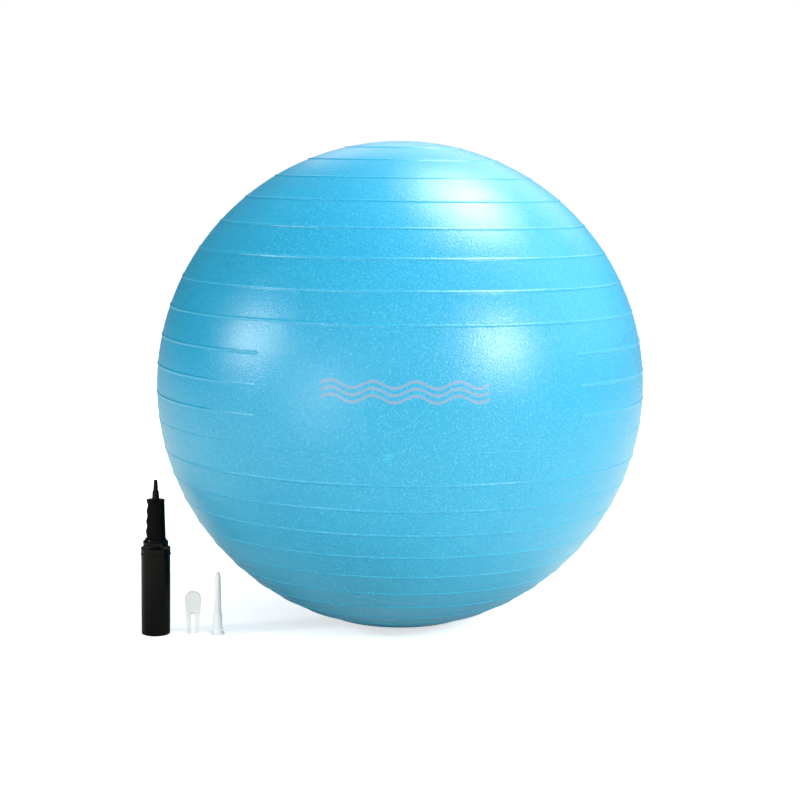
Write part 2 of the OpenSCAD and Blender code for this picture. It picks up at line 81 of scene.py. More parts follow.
def add_node(tree: bpy.types.NodeTree, kind: str, inputs: dict | None = None,
             **settings) -> bpy.types.Node:
    """Adds one node with its settings, and sets or links its inputs.

    Args:
        tree: The node tree that takes the node.
        kind: Blender's type name of the node.
        inputs: Value, or output socket to link, for each input by its name or number.
        **settings: The node's own properties.

    Returns:
        The new node.
    """
    node = tree.nodes.new(kind)
    for name, value in settings.items():
        setattr(node, name, value)
    for key, value in (inputs or {}).items():
        if isinstance(value, bpy.types.NodeSocket):
            tree.links.new(value, node.inputs[key])
        else:
            node.inputs[key].default_value = value
    return node


def new_material(name: str) -> tuple[bpy.types.Material, bpy.types.NodeTree]:
    """Makes a material with an empty node tree.

    Args:
        name: The material's name.

    Returns:
        The material and its node tree.
    """
    material = bpy.data.materials.new(name)
    material.use_nodes = True
    material.node_tree.nodes.clear()
    return material, material.node_tree


def box_centre(node: str) -> Vector:
    """Centre of a CAD node's box at rest, in millimetres."""
    low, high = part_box(node)
    return (low + high) / 2 / MM


@dataclass
class MeshDraft:
    """Points and faces of one piece while it is being built, in millimetres."""

    points: list[Point] = field(default_factory=list)
    faces: list[tuple[int, ...]] = field(default_factory=list)

    def ring(self, points: Iterable[Point]) -> list[int]:
        """Adds points and returns their numbers."""
        first = len(self.points)
        self.points.extend(points)
        return list(range(first, len(self.points)))

    def bridge(self, low: Sequence[int], high: Sequence[int]) -> None:
        """Joins two closed rings of the same number of points with quads."""
        count = len(low)
        for k in range(count):
            after = (k + 1) % count
            self.faces.append((low[k], low[after], high[after], high[k]))

    def tube(self, rings: Sequence[Sequence[int]], closed: bool) -> None:
        """Joins each ring to the next, and the last to the first where the tube is closed."""
        for low, high in zip(rings, rings[1:]):
            self.bridge(low, high)
        if closed:
            self.bridge(rings[-1], rings[0])

    def fan(self, ring: Sequence[int], centre: Point) -> None:
        """Closes a ring with triangles that meet in one point."""
        middle = self.ring([centre])[0]
        for k, corner in enumerate(ring):
            self.faces.append((corner, ring[(k + 1) % len(ring)], middle))

    def finish(self, name: str, crease: float = 40.0) -> bpy.types.Object:
        """Turns the draft into a smooth-shaded object whose faces all look outwards.

        Args:
            name: The piece's name.
            crease: Angle in degrees above which an edge stays crisp.

        Returns:
            The object, at the origin, with its place in its mesh.
        """
        mesh = bpy.data.meshes.new(name)
        mesh.from_pydata([tuple(c * MM for c in p) for p in self.points], [], self.faces)
        work = bmesh.new()
        work.from_mesh(mesh)
        bmesh.ops.recalc_face_normals(work, faces=work.faces)
        work.to_mesh(mesh)
        work.free()
        mesh.shade_smooth()
        mesh.set_sharp_from_angle(angle=math.radians(crease))
        piece = bpy.data.objects.new(name, mesh)
        bpy.context.scene.collection.objects.link(piece)
        return piece


STRAIGHT_TURN = math.radians(3)  # a corner that turns less than this is left as it is
LEG_SHARE = 0.46  # largest share of a leg that a rounding may take
HOLD_REACH = 0.35  # distance of the point that keeps a flat flat, as a share of the reach
HOLD_LEG = 0.04  # and never more than this share of a leg


def rounded(corners: Sequence[Corner], closed: bool, step: float = 12.0) -> list[Flat]:
    """Rounds the corners of an outline, and adds points that keep the flats flat in the shading.

    Args:
        corners: Radius, height and rounding of each corner, in order.
        closed: Whether the outline returns to its first corner.
        step: Turn of each short edge of a rounding, in degrees.

    Returns:
        The outline's points.
    """
    count = len(corners)
    outline: list[Flat] = []
    for k, (x, z, rounding) in enumerate(corners):
        here = Vector((x, z))
        if rounding <= 0 or (not closed and k in (0, count - 1)):
            outline.append((x, z))
            continue
        before = Vector(corners[k - 1][:2]) - here
        after = Vector(corners[(k + 1) % count][:2]) - here
        turn = math.pi - before.angle(after)
        if turn < STRAIGHT_TURN:
            outline.append((x, z))
            continue
        leg = min(before.length, after.length)
        reach = min(rounding * math.tan(turn / 2), LEG_SHARE * leg)
        start, end = here + before.normalized() * reach, here + after.normalized() * reach
        radius = reach / math.tan(turn / 2)
        middle = here + (before.normalized() + after.normalized()).normalized() * (
            radius / math.cos(turn / 2))
        steps = max(2, math.ceil(math.degrees(turn) / step))
        hold = min(HOLD_REACH * reach, HOLD_LEG * leg)
        first = start - middle
        swing = first.angle_signed(end - middle)
        outline.append(tuple(start + before.normalized() * hold))
        outline += [tuple(middle + Matrix.Rotation(-swing * i / steps, 2) @ first)
                    for i in range(steps + 1)]
        outline.append(tuple(end + after.normalized() * hold))
    return outline


def lathe(draft: MeshDraft, outline: Sequence[Flat], closed: bool, segments: int,
          place: Callable[[float, float, float], Point]) -> None:
    """Spins an outline about an axis.

    Args:
        draft: The mesh that takes the faces.
        outline: Radius and height of each point; a radius of 0 closes the end on the axis.
        closed: Whether the outline returns to its first point, as on a piece with a bore.
        segments: Number of points on each ring.
        place: Puts a radius, an angle and a height into the shared frame.
    """
    turns = [2 * math.pi * k / segments for k in range(segments)]
    rings = [draft.ring(place(radius, a, height) for a in turns)
             for radius, height in outline if radius > TINY]
    draft.tube(rings, closed)
    if not closed:
        draft.fan(rings[0], place(0.0, 0.0, outline[0][1]))
        draft.fan(rings[-1], place(0.0, 0.0, outline[-1][1]))


def turned_piece(name: str, corners: Sequence[Corner], axis: Vector, closed: bool = False,
                 segments: int = ROUND_SEGMENTS) -> bpy.types.Object:
    """Makes a turned piece that stands on a vertical axis.

    Args:
        name: The piece's name.
        corners: Radius, height and rounding of each corner of its half section.
        axis: A point of the axis, in millimetres; its height isn't used.
        closed: True for a piece with a bore right through.
        segments: Number of points round it.

    Returns:
        The finished object.
    """
    draft = MeshDraft()
    lathe(draft, rounded(corners, closed), closed, segments,
          lambda r, a, h: (axis.x + r * math.cos(a), axis.y + r * math.sin(a), h))
    return draft.finish(name)


class MouldTexture(Enum):
    """How a mould's wall was finished: spacing of its grain and height of its grain, in millimetres."""

    POLISHED = (3.0, 0.004)
    SATIN = (1.2, 0.010)
    SPARK_ERODED = (0.9, 0.030)


@dataclass(frozen=True)
class MouldedFinish:
    """Finish of a moulded plastic or rubber piece.

    The colour clouds a little where the melt flowed, edges are rubbed lighter, handling leaves
    patches of other gloss, and the mould's grain is drawn as bump.
    """

    name: str
    body: str
    cloud: str
    rubbed: str
    roughness: float
    smudge: float
    ior: float
    texture: MouldTexture
    flow_mm: float = 18.0
    touch_mm: float = 7.0
    translucency: float = 0.0
    depth_mm: float = 2.0
    reflection: float = 0.5

    def material(self) -> bpy.types.Material:
        """Builds the finish's material.

        Returns:
            The new material.
        """
        material, tree = new_material(self.name)
        place = add_node(tree, "ShaderNodeTexCoord").outputs["Object"]
        flow = add_node(tree, "ShaderNodeTexNoise", {
            "Vector": place, "Scale": 1 / (self.flow_mm * MM), "Detail": 3.0, "Distortion": 0.6})
        body = add_node(tree, "ShaderNodeMix", {
            "Factor": flow.outputs["Fac"], "A": linear_rgba(self.body), "B": linear_rgba(self.cloud),
        }, data_type="RGBA")
        edge = add_node(tree, "ShaderNodeMapRange", {
            "Value": add_node(tree, "ShaderNodeNewGeometry").outputs["Pointiness"],
            "From Min": 0.52, "From Max": 0.62, "To Min": 0.0, "To Max": 0.5})
        colour = add_node(tree, "ShaderNodeMix", {
            "Factor": edge.outputs["Result"], "A": body.outputs["Result"],
            "B": linear_rgba(self.rubbed)}, data_type="RGBA")
        smudges = add_node(tree, "ShaderNodeTexNoise", {
            "Vector": place, "Scale": 1 / (self.touch_mm * MM), "Detail": 4.0, "Roughness": 0.65})
        gloss = add_node(tree, "ShaderNodeMapRange", {
            "Value": smudges.outputs["Fac"], "From Min": 0.3, "From Max": 0.7,
            "To Min": self.roughness - self.smudge, "To Max": self.roughness + self.smudge})
        spacing, height = self.texture.value
        grain = add_node(tree, "ShaderNodeTexNoise", {
            "Vector": place, "Scale": 1 / (spacing * MM), "Detail": 2.0, "Roughness": 0.6})
        bump = add_node(tree, "ShaderNodeBump", {
            "Height": grain.outputs["Fac"], "Distance": height * MM, "Strength": 1.0})
        shader = add_node(tree, "ShaderNodeBsdfPrincipled", {
            "Base Color": colour.outputs["Result"], "Roughness": gloss.outputs["Result"],
            "Normal": bump.outputs["Normal"], "IOR": self.ior,
            "Specular IOR Level": self.reflection, "Subsurface Weight": self.translucency,
            "Subsurface Scale": self.depth_mm * MM, "Subsurface Radius": (1.0, 0.9, 0.8)})
        add_node(tree, "ShaderNodeOutputMaterial", {"Surface": shader.outputs["BSDF"]})
        return material


@dataclass(frozen=True)
class PearlVinyl:
    """Soft PVC with pearl pigment, blown in a blasted mould, for the ball's skin.

    The pigment gives a wide silky sheen over the blue, and the blasted mould leaves a fine grit that
    breaks up the edges of every highlight. The grit is about 0.2 mm on the real skin and is drawn
    at 2.2 mm, the finest that still shows. Some of its grains carry a painted sparkle: a lighter colour
    that stands in for pearl flakes catching the light.
    """

    name: str = "pearl_pvc_blown"
    body: str = "0897c2"
    cloud: str = "0c9fca"
    crest: str = "26b0d8"
    # painted sparkle: the lighter colour put on some grains in place of pearl flakes catching the light
    painted_sparkle: str = "7ad2ee"
    painted_sparkle_cover: float = 0.28
    ink: str = "7f97b2"
    ink_cover: float = 0.85
    roughness: float = 0.29
    ior: float = 1.53
    reflection: float = 0.55
    pearl: float = 0.2
    pearl_ior: float = 1.7
    pearl_roughness: float = 0.5
    grit_mm: float = 2.2
    grit_height_mm: float = 0.2
    flow_mm: float = 140.0
    gloss_spread: float = 0.03
    fine_share: float = 0.6
    ink_edge_mm: float = 0.35
    rows_end: tuple[float, float] = (2.5, 2.4)

    def waves(self, tree: bpy.types.NodeTree, place: bpy.types.NodeSocket,
              ball: "Ball") -> bpy.types.NodeSocket:
        """Draws the printed ornament on the front panel: three wave lines beside each other.

        Args:
            tree: The material's node tree.
            place: The point on the skin, in metres.
            ball: The ball, for its radius and the height of its middle.

        Returns:
            A mask that is 1 on the ink.
        """
        axes = add_node(tree, "ShaderNodeSeparateXYZ", {"Vector": place}).outputs
        maths = "ShaderNodeMath"
        back = add_node(tree, maths, {0: axes["Y"], 1: -1.0}, operation="MULTIPLY").outputs[0]
        turn = add_node(tree, maths, {0: axes["X"], 1: back}, operation="ARCTAN2").outputs[0]
        along = add_node(tree, maths, {0: turn, 1: ball.radius, 2: -ball.print_offset},
                         operation="MULTIPLY_ADD").outputs[0]
        level = add_node(tree, maths, {0: axes["Z"], 1: 1 / MM, 2: -ball.print_height},
                         operation="MULTIPLY_ADD").outputs[0]
        phase = add_node(tree, maths, {0: along, 1: 2 * math.pi / ball.wave_length},
                         operation="MULTIPLY").outputs[0]
        swing = add_node(tree, maths, {0: phase}, operation="SINE").outputs[0]
        lifted = add_node(tree, maths, {0: swing, 1: -ball.wave_swing, 2: level},
                          operation="MULTIPLY_ADD").outputs[0]
        folded = add_node(tree, maths, {0: lifted, 1: ball.wave_pitch},
                          operation="PINGPONG").outputs[0]
        line = add_node(tree, "ShaderNodeMapRange", {
            "Value": folded, "From Min": ball.wave_stroke / 2 + self.ink_edge_mm,
            "From Max": ball.wave_stroke / 2 - self.ink_edge_mm}).outputs["Result"]
        depth = add_node(tree, maths, {0: lifted}, operation="ABSOLUTE").outputs[0]
        rows = add_node(tree, "ShaderNodeMapRange", {
            "Value": depth, "From Min": self.rows_end[0] * ball.wave_pitch,
            "From Max": self.rows_end[1] * ball.wave_pitch}).outputs["Result"]
        reach = add_node(tree, maths, {0: along}, operation="ABSOLUTE").outputs[0]
        ends = add_node(tree, "ShaderNodeMapRange", {
            "Value": reach, "From Min": ball.print_length / 2 + self.ink_edge_mm,
            "From Max": ball.print_length / 2 - self.ink_edge_mm}).outputs["Result"]
        front = add_node(tree, maths, {0: axes["Y"], 1: 0.0}, operation="LESS_THAN").outputs[0]
        mask = line
        for part in (rows, ends, front):
            mask = add_node(tree, maths, {0: mask, 1: part}, operation="MULTIPLY").outputs[0]
        return mask

    def material(self, ball: "Ball") -> bpy.types.Material:
        """Builds the skin's material.

        Args:
            ball: The ball, for the places of its ribs and its print.

        Returns:
            The new material.
        """
        material, tree = new_material(self.name)
        place = add_node(tree, "ShaderNodeTexCoord").outputs["Object"]
        flow = add_node(tree, "ShaderNodeTexNoise", {
            "Vector": place, "Scale": 1 / (self.flow_mm * MM), "Detail": 4.0, "Distortion": 0.8})
        body = add_node(tree, "ShaderNodeMix", {
            "Factor": flow.outputs["Fac"], "A": linear_rgba(self.body), "B": linear_rgba(self.cloud),
        }, data_type="RGBA")
        edge = add_node(tree, "ShaderNodeMapRange", {
            "Value": add_node(tree, "ShaderNodeNewGeometry").outputs["Pointiness"],
            "From Min": 0.51, "From Max": 0.56, "To Min": 0.0, "To Max": 0.7})
        skin = add_node(tree, "ShaderNodeMix", {
            "Factor": edge.outputs["Result"], "A": body.outputs["Result"],
            "B": linear_rgba(self.crest)}, data_type="RGBA")
        # Painted sparkle: lighter specks mixed into the colour on some grains, standing in for pearl
        # flakes that catch the light.
        painted_sparkle_noise = add_node(tree, "ShaderNodeTexNoise", {
            "Vector": place, "Scale": 1 / (self.grit_mm * MM), "Detail": 1.0})
        painted_sparkle_mask = add_node(tree, "ShaderNodeMapRange", {
            "Value": painted_sparkle_noise.outputs["Fac"], "From Min": 0.5, "From Max": 0.72,
            "To Min": 0.0, "To Max": self.painted_sparkle_cover})
        skin = add_node(tree, "ShaderNodeMix", {
            "Factor": painted_sparkle_mask.outputs["Result"], "A": skin.outputs["Result"],
            "B": linear_rgba(self.painted_sparkle)}, data_type="RGBA")
        ink = add_node(tree, "ShaderNodeMath", {
            0: self.waves(tree, place, ball), 1: self.ink_cover}, operation="MULTIPLY").outputs[0]
        colour = add_node(tree, "ShaderNodeMix", {
            "Factor": ink, "A": skin.outputs["Result"], "B": linear_rgba(self.ink)},
            data_type="RGBA")
        grit = add_node(tree, "ShaderNodeTexVoronoi", {
            "Vector": place, "Scale": 1 / (self.grit_mm * MM), "Randomness": 1.0})
        fine = add_node(tree, "ShaderNodeTexNoise", {
            "Vector": place, "Scale": 1 / (self.fine_share * self.grit_mm * MM), "Detail": 2.0})
        rough = add_node(tree, "ShaderNodeMath", {
            0: grit.outputs["Distance"], 1: fine.outputs["Fac"]}, operation="ADD").outputs[0]
        bump = add_node(tree, "ShaderNodeBump", {
            "Height": rough, "Distance": self.grit_height_mm * MM, "Strength": 1.0})
        gloss = add_node(tree, "ShaderNodeMapRange", {
            "Value": flow.outputs["Fac"], "From Min": 0.3, "From Max": 0.7,
            "To Min": self.roughness - self.gloss_spread,
            "To Max": self.roughness + self.gloss_spread})
        shader = add_node(tree, "ShaderNodeBsdfPrincipled", {
            "Base Color": colour.outputs["Result"], "Roughness": gloss.outputs["Result"],
            "Normal": bump.outputs["Normal"], "IOR": self.ior,
            "Specular IOR Level": self.reflection, "Coat Weight": self.pearl,
            "Coat IOR": self.pearl_ior, "Coat Roughness": self.pearl_roughness,
            "Coat Normal": bump.outputs["Normal"]})
        add_node(tree, "ShaderNodeOutputMaterial", {"Surface": shader.outputs["BSDF"]})
        return material


# ABS with carbon black, moulded in a polished mould: near black, with sharp glints on its edges.
BLACK_ABS = MouldedFinish("black_abs_polished", "030303", "060606", "141414", 0.2, 0.05, 1.53,
                          MouldTexture.POLISHED, reflection=0.12)
# Softer black polypropylene on the grip: a satin mould makes it darker and quieter.
BLACK_PP = MouldedFinish("black_polypropylene_satin", "020202", "040404", "0e0e0e", 0.42, 0.06, 1.49,
                         MouldTexture.SATIN, reflection=0.06)
# Acetal of the pump's rod: it slides, so it is smooth with a waxy sheen.
BLACK_ACETAL = MouldedFinish("black_acetal_turned", "0a0a0a", "101010", "1c1c1c", 0.32, 0.05, 1.48,
                             MouldTexture.SATIN)
# Nylon of the pump's inner parts, undyed: a cream white that lets a little light in.
NATURAL_NYLON = MouldedFinish("natural_nylon_moulded", "ddd8c8", "e8e4d8", "f2efe6", 0.38, 0.05, 1.53,
                              MouldTexture.SATIN, translucency=0.25)
# Nitrile rubber of the seals: matt grey-black, with a greasy shine in patches.
NITRILE = MouldedFinish("nitrile_rubber_moulded", "14161a", "1d2024", "2c3034", 0.6, 0.15, 1.52,
                        MouldTexture.SPARK_ERODED)
# White polypropylene of the puller and the plug: bright, slightly translucent at thin edges.
WHITE_PP = MouldedFinish("white_polypropylene_moulded", "f2f2f2", "f5f5f5", "fafafa", 0.34, 0.05, 1.49,
                         MouldTexture.SATIN, translucency=0.3, depth_mm=1.2)
# Soft milky polyethylene of the adaptor: waxy, and light glows through its wall.
MILKY_PE = MouldedFinish("milky_polyethylene_moulded", "f1f3f4", "f4f6f7", "fafbfb", 0.4, 0.06, 1.51,
                         MouldTexture.SATIN, translucency=0.6, depth_mm=2.5)
# Softer PVC of the valve's seat, welded in: the skin's blue without its pearl.
VALVE_PVC = MouldedFinish("blue_pvc_moulded", "1fa6d2", "27b0dc", "49c3ea", 0.4, 0.06, 1.53,
                          MouldTexture.SATIN, translucency=0.15)


def dress(piece: bpy.types.Object, material: bpy.types.Material, body: str, node: str) -> None:
    """Gives a piece its material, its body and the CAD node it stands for.

    Args:
        piece: The finished piece.
        material: Its material.
        body: The CAD body that it moves with.
        node: The CAD node that it replaces.
    """
    piece.data.materials.clear()
    piece.data.materials.append(material)
    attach(piece, body)
    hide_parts(node)
    log.info("%s: %d faces, rides on %s for %s", piece.name, len(piece.data.polygons), body, node)


def dress_node(node: str, material: bpy.types.Material) -> None:
    """Gives a carried-over CAD node its material.

    Args:
        node: The CAD node.
        material: Its material.
    """
    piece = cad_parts[node]
    for place in piece.material_slots:
        place.material = material
    if not piece.material_slots:
        piece.data.materials.append(material)
    log.info("%s keeps its own mesh and takes %s", node, material.name)


def valve_turned(name: str, corners: Sequence[Corner], middle: float,
                 closed: bool = False) -> bpy.types.Object:
    """Makes a turned piece on the valve's axis, which runs along +Y from the ball's centre.

    Args:
        name: The piece's name.
        corners: Radius, distance from the ball's centre and rounding of each corner.
        middle: Height of the axis.
        closed: True for a piece with a bore right through.

    Returns:
        The finished object.
    """
    draft = MeshDraft()
    lathe(draft, rounded(corners, closed), closed, ROUND_SEGMENTS,
          lambda r, a, h: (r * math.cos(a), h, middle + r * math.sin(a)))
    return draft.finish(name)


@dataclass(frozen=True)
class Rib:
    """One bead that runs round the skin on a circle of latitude, in degrees and millimetres."""

    latitude: float
    width: float
    crest: float
    height: float
    interrupted: bool = False

    def rise(self, distance: float) -> float:
        """Height of the bead at a distance from its middle line."""
        share = (self.width / 2 - distance) / (self.width / 2 - self.crest / 4)
        share = min(max(share, 0.0), 1.0)
        return self.height * share * share * (3 - 2 * share)


RIB_ROWS = (0.0, 0.65, 1.1, 1.6, 2.2, 3.1)  # rows beside the middle of a rib, in millimetres
RIB_ROWS_HALF = 2.2  # half the width of the rib that these rows suit
RIB_END_ARCS = (-0.9, 0.0, 0.6, 1.1, 1.6, 2.2)  # columns at a rib's end, in millimetres
HOLE_SHARES = (0.3, 0.6, 0.85, 1.0)  # rings from the square border to the round hole


@dataclass
class Ball:
    """The inflated skin with its ribs and panels, and the valve's seat that is welded into it."""

    radius: float = 325.0
    skin_wall: float = 0.9
    rib_width: float = 4.4
    rib_crest: float = 2.0
    rib_height: float = 0.8
    ribs_per_half: int = 11
    short_ribs: int = 3
    parting: Rib = Rib(-7.6, 1.2, 0.6, 0.4)
    upper_pitch: float = 6.15
    upper_growth: float = 0.135
    lower_lead: float = 1.2
    lower_pitch: float = 6.0
    lower_growth: float = 0.045
    panel_turn: float = 5.2
    panel_half: float = 37.6
    valve_turn: float = 90.0
    valve_zone: float = 4.0
    hole_radius: float = 12.1
    top_latitude: float = 88.2
    zone_step: float = 0.5
    row_step: float = 2.3
    column_step: float = 1.6
    inside_step: float = 7.0
    print_offset: float = 6.5
    print_height: float = 353.5
    print_length: float = 203.0
    wave_length: float = 50.8
    wave_swing: float = 4.2
    wave_pitch: float = 4.2
    wave_stroke: float = 3.6
    middle: float = field(init=False)

    def __post_init__(self) -> None:
        """Takes the height of the ball's centre above the floor from the CAD frame."""
        self.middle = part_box("ball_skin")[1].z / MM - self.radius

    def ribs(self) -> list[Rib]:
        """Lists every bead of the mould, the parting line's fine one among them."""
        base = self.parting.latitude
        beads = [self.parting]
        for i in range(1, self.ribs_per_half + 1):
            upper = base + self.upper_pitch * i + self.upper_growth * i * i
            lower = base - self.lower_lead - self.lower_pitch * i - self.lower_growth * i * i
            beads.append(Rib(upper, self.rib_width, self.rib_crest, self.rib_height,
                             i <= self.short_ribs))
            beads.append(Rib(lower, self.rib_width, self.rib_crest, self.rib_height))
        return beads

    def degrees(self, arc: float) -> float:
        """Angle at the ball's centre of a length on its surface."""
        return math.degrees(arc / self.radius)

    def rib_ends(self) -> list[tuple[float, float]]:
        """First and last azimuth of each stretch of the interrupted ribs."""
        return [(side - 90 + self.panel_turn + self.panel_half,
                 side + 90 + self.panel_turn - self.panel_half) for side in (0, 180)]

    @staticmethod
    def filled(marks: Iterable[float], spacing: Callable[[float], float]) -> list[float]:
        """Adds marks so that no gap is wider than the spacing allowed at its middle.

        Args:
            marks: The marks that have to be there.
            spacing: Widest gap allowed at an angle.

        Returns:
            All marks in order.
        """
        ordered = sorted(marks)
        result = [ordered[0]]
        for low, high in zip(ordered, ordered[1:]):
            if high - low < 1e-4:
                continue
            parts = math.ceil((high - low) / spacing((low + high) / 2) - 1e-9)
            result += [low + (high - low) * k / parts for k in range(1, parts + 1)]
        return result

    def rows(self, radius: float, floor: float, fine: bool) -> list[float]:
        """Latitudes of the mesh's rows.

        Args:
            radius: Radius of the surface.
            floor: Height above the floor where the surface is flattened.
            fine: True for the outside, which carries the ribs.

        Returns:
            Latitudes from the flattened foot up to just under the pole.
        """
        zone = self.valve_zone
        foot = -math.degrees(math.asin((self.middle - floor) / radius))
        marks = [foot, -zone, zone, self.top_latitude]
        for rib in self.ribs():
            scale = rib.width / 2 / RIB_ROWS_HALF
            if fine or abs(rib.latitude) < zone:
                marks += [rib.latitude + side * self.degrees(row * scale)
                          for row in RIB_ROWS for side in (-1, 1)]
        step = self.row_step if fine else self.inside_step
        return self.filled(marks, lambda a: self.zone_step if abs(a) < zone else step)

    def columns(self, fine: bool) -> list[float]:
        """Azimuths of the mesh's columns, once round.

        Args:
            fine: True for the outside, which carries the ends of the short ribs.

        Returns:
            Azimuths in degrees from 0 up to, but not including, 360.
        """
        low, high = self.valve_turn - self.valve_zone, self.valve_turn + self.valve_zone
        marks = [0.0, low, high, 360.0]
        if fine:
            for start, end in self.rib_ends():
                for arc in RIB_END_ARCS:
                    marks += [(start + self.degrees(arc)) % 360, (end - self.degrees(arc)) % 360]
        step = self.column_step if fine else self.inside_step
        return self.filled(marks, lambda a: self.zone_step if low < a < high else step)[:-1]

    def relief(self, rib: Rib | None, latitude: float, turn: float) -> float:
        """Height of the rib at a point of the skin.

        Args:
            rib: The rib that the row belongs to, if any.
            latitude: Latitude of the point.
            turn: Azimuth of the point.

        Returns:
            Height above the sphere.
        """
        if rib is None:
            return 0.0
        across = math.radians(abs(latitude - rib.latitude)) * self.radius
        if rib.interrupted:
            inside = max(min((turn - start) % 360, end - start - (turn - start) % 360)
                         for start, end in self.rib_ends())
            across = math.hypot(across, max(0.0, rib.width / 2
                                            - math.radians(inside) * self.radius))
        return rib.rise(across)

    def shell(self, draft: MeshDraft, radius: float, floor: float, fine: bool) -> list[int]:
        """Adds one side of the skin, with the valve's hole in it.

        Args:
            draft: The mesh that takes the faces.
            radius: Radius of the surface.
            floor: Height of its flattened foot.
            fine: True for the outside, which carries the ribs.

        Returns:
            The points round the hole's rim, in order.
        """
        rows, columns = self.rows(radius, floor, fine), self.columns(fine)
        low, high = self.valve_turn - self.valve_zone, self.valve_turn + self.valve_zone
        count = len(columns)
        zone_rows = [i for i, a in enumerate(rows) if abs(a) <= self.valve_zone + TINY]
        zone_columns = [j for j, a in enumerate(columns) if low - TINY <= a <= high + TINY]
        first, last, left, right = zone_rows[0], zone_rows[-1], zone_columns[0], zone_columns[-1]
        beads = self.ribs() if fine else []
        grid: dict[tuple[int, int], int] = {}
        for i, latitude in enumerate(rows):
            rib = next((b for b in beads if math.radians(abs(latitude - b.latitude)) * self.radius
                        < b.width / 2), None)
            for j, turn in enumerate(columns):
                if first < i < last and left < j < right:
                    continue
                reach = radius + self.relief(rib, latitude, turn)
                flat = reach * math.cos(math.radians(latitude))
                grid[i, j] = draft.ring([(
                    flat * math.cos(math.radians(turn)), flat * math.sin(math.radians(turn)),
                    self.middle + reach * math.sin(math.radians(latitude)) if i else floor)])[0]
        for i in range(len(rows) - 1):
            for j in range(count):
                if not (first <= i < last and left <= j < right):
                    k = (j + 1) % count
                    draft.faces.append((grid[i, j], grid[i, k], grid[i + 1, k], grid[i + 1, j]))
        draft.fan([grid[0, j] for j in range(count)], (0.0, 0.0, floor))
        draft.fan([grid[len(rows) - 1, j] for j in range(count)], (0.0, 0.0, self.middle + radius))
        border = ([grid[first, j] for j in range(left, right)]
                  + [grid[i, right] for i in range(first, last)]
                  + [grid[last, j] for j in range(right, left, -1)]
                  + [grid[i, left] for i in range(last, first, -1)])
        return self.hole(draft, border, radius)

    def hole(self, draft: MeshDraft, border: list[int], radius: float) -> list[int]:
        """Fills the valve's zone with rings that turn its square border into a round hole.

        Args:
            draft: The mesh that takes the faces.
            border: The points of the zone's border, in order.
            radius: Radius of the surface.

        Returns:
            The points of the hole's rim.
        """
        outer = border
        for share in HOLE_SHARES:
            points = []
            for number in border:
                x, _, z = draft.points[number]
                z -= self.middle
                scale = 1 + share * (self.hole_radius / math.hypot(x, z) - 1)
                x, z = x * scale, z * scale
                points.append((x, math.sqrt(radius * radius - x * x - z * z), self.middle + z))
            inner = draft.ring(points)
            draft.bridge(outer, inner)
            outer = inner
        return outer

    def skin(self) -> bpy.types.Object:
        """Builds the hollow skin: its ribbed outside, its smooth inside and the hole's wall."""
        draft = MeshDraft()
        outside = self.shell(draft, self.radius, 0.0, fine=True)
        inside = self.shell(draft, self.radius - self.skin_wall, self.skin_wall, fine=False)
        rim = {self.bearing(draft.points[p]): p for p in inside}
        order = sorted(outside, key=lambda p: self.bearing(draft.points[p]))
        draft.bridge(order, [rim[b] for b in sorted(rim)])
        return draft.finish("ball_skin_ribbed", crease=50.0)

    def bearing(self, point: Point) -> float:
        """Direction of a point round the valve's axis, in radians."""
        return math.atan2(point[2] - self.middle, point[0])

    def build(self) -> None:
        """Builds the ball's pieces and dresses them."""
        skin = self.skin()
        dress(skin, PearlVinyl().material(self), "ball", "ball_skin")
        ValveSeat(self).build()


@dataclass
class ValveSeat:
    """The valve's seat: boss, lip over the skin, neck, and the pad welded inside the skin."""

    ball: Ball
    boss_radius: float = 8.0
    boss_length: float = 24.0
    bore_end: float = 4.15
    mouth: float = 4.75
    lip_face: float = 11.3
    lip_radius: float = 13.1
    lip_height: float = 0.4
    lip_hem: float = 0.35
    neck_radius: float = 12.0
    pad_radius: float = 24.0
    pad_edge: float = 2.4
    pad_thickness: float = 1.6
    boss_dip: float = 1.7
    gap: float = 0.1

    def build(self) -> None:
        """Builds the seat and dresses it."""
        skin = self.ball.radius
        inner = skin - self.ball.skin_wall - self.gap
        pad = [(r, math.sqrt(inner ** 2 - r * r), 0.0) for r in (12.0, 15.0, 18.0, 21.0)]
        under = [(r, math.sqrt((inner - self.pad_thickness) ** 2 - r * r), 0.0)
                 for r in (20.0, 16.0, 12.0)]
        top, foot, hem = skin + self.lip_height, skin - self.boss_length, skin - self.lip_hem
        corners = [(self.bore_end, foot, 0.3), (self.mouth, top, 0.5), (self.lip_face, top, 0.5),
                   (self.lip_radius, skin - 0.02, 0.1), (self.lip_radius, hem, 0.0),
                   (self.neck_radius, hem, 0.0), *pad,
                   (self.pad_radius, math.sqrt(inner ** 2 - self.pad_radius ** 2), 0.3),
                   (self.pad_radius, inner - self.pad_edge, 0.3), *under,
                   (self.boss_radius, inner - self.boss_dip, 0.6),
                   (self.boss_radius, foot, 0.6)]
        seat = valve_turned("valve_seat_welded", corners, self.ball.middle, closed=True)
        dress(seat, VALVE_PVC.material(), "ball", "valve_seat")


